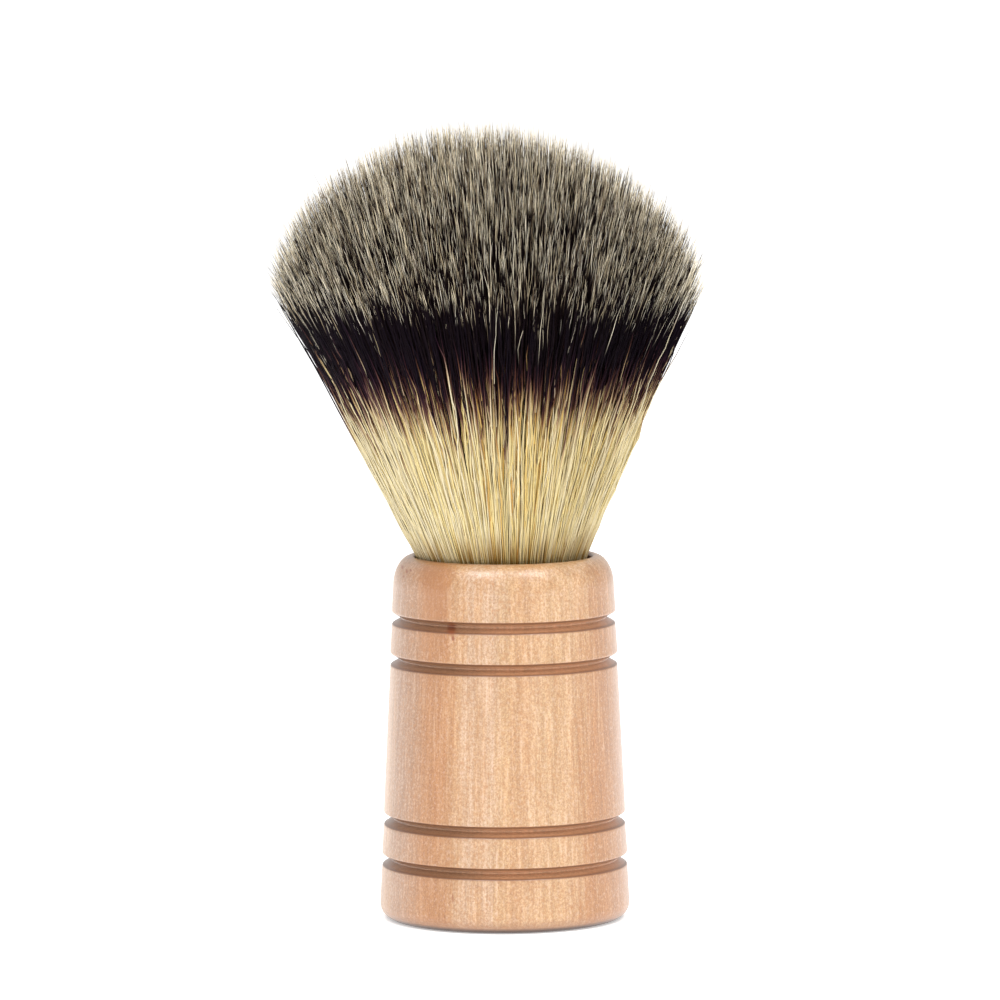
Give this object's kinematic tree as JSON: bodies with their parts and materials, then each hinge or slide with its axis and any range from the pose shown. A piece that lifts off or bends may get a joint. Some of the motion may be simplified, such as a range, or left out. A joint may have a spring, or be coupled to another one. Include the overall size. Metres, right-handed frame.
{
  "type": "shaving brush",
  "caption": "Shaving brush with a turned wooden handle, paired grip grooves and a domed knot of soft three-tone filaments that flexes at its root.",
  "frame": {"origin": "centre of the handle's flat foot", "axes": "+Z along the handle's axis, from the foot to the filaments; the knot leans slightly towards -X"},
  "size_m": [0.0536, 0.0536, 0.1006],
  "materials": {
    "handle_wood": "satin clear lacquer",
    "socket_adhesive": "cured adhesive",
    "ring_plastic": "moulded",
    "plug_resin": "cast resin",
    "binding_thread": "twisted thread",
    "filament": "soft synthetic filament, straw root, near-black band, grey-beige tip"
  },
  "bodies": {
    "handle_body": {"handle": "handle_wood", "socket_glue": "socket_adhesive", "knot_ring": "ring_plastic", "knot_plug": "plug_resin", "knot_binding": "binding_thread", "filament_roots": "filament"},
    "bristle_body": {"filament_bundle": "filament"}
  },
  "joints": [
    {"name": "bristle_flex", "type": "hinge", "parent": "handle_body", "child": "bristle_body", "pos_m": [-0.00039, 0, 0.04599], "axis": [0, 1, 0], "range_deg": [-30, 30], "stiffness_Nm_per_rad": 0.15}
  ]
}
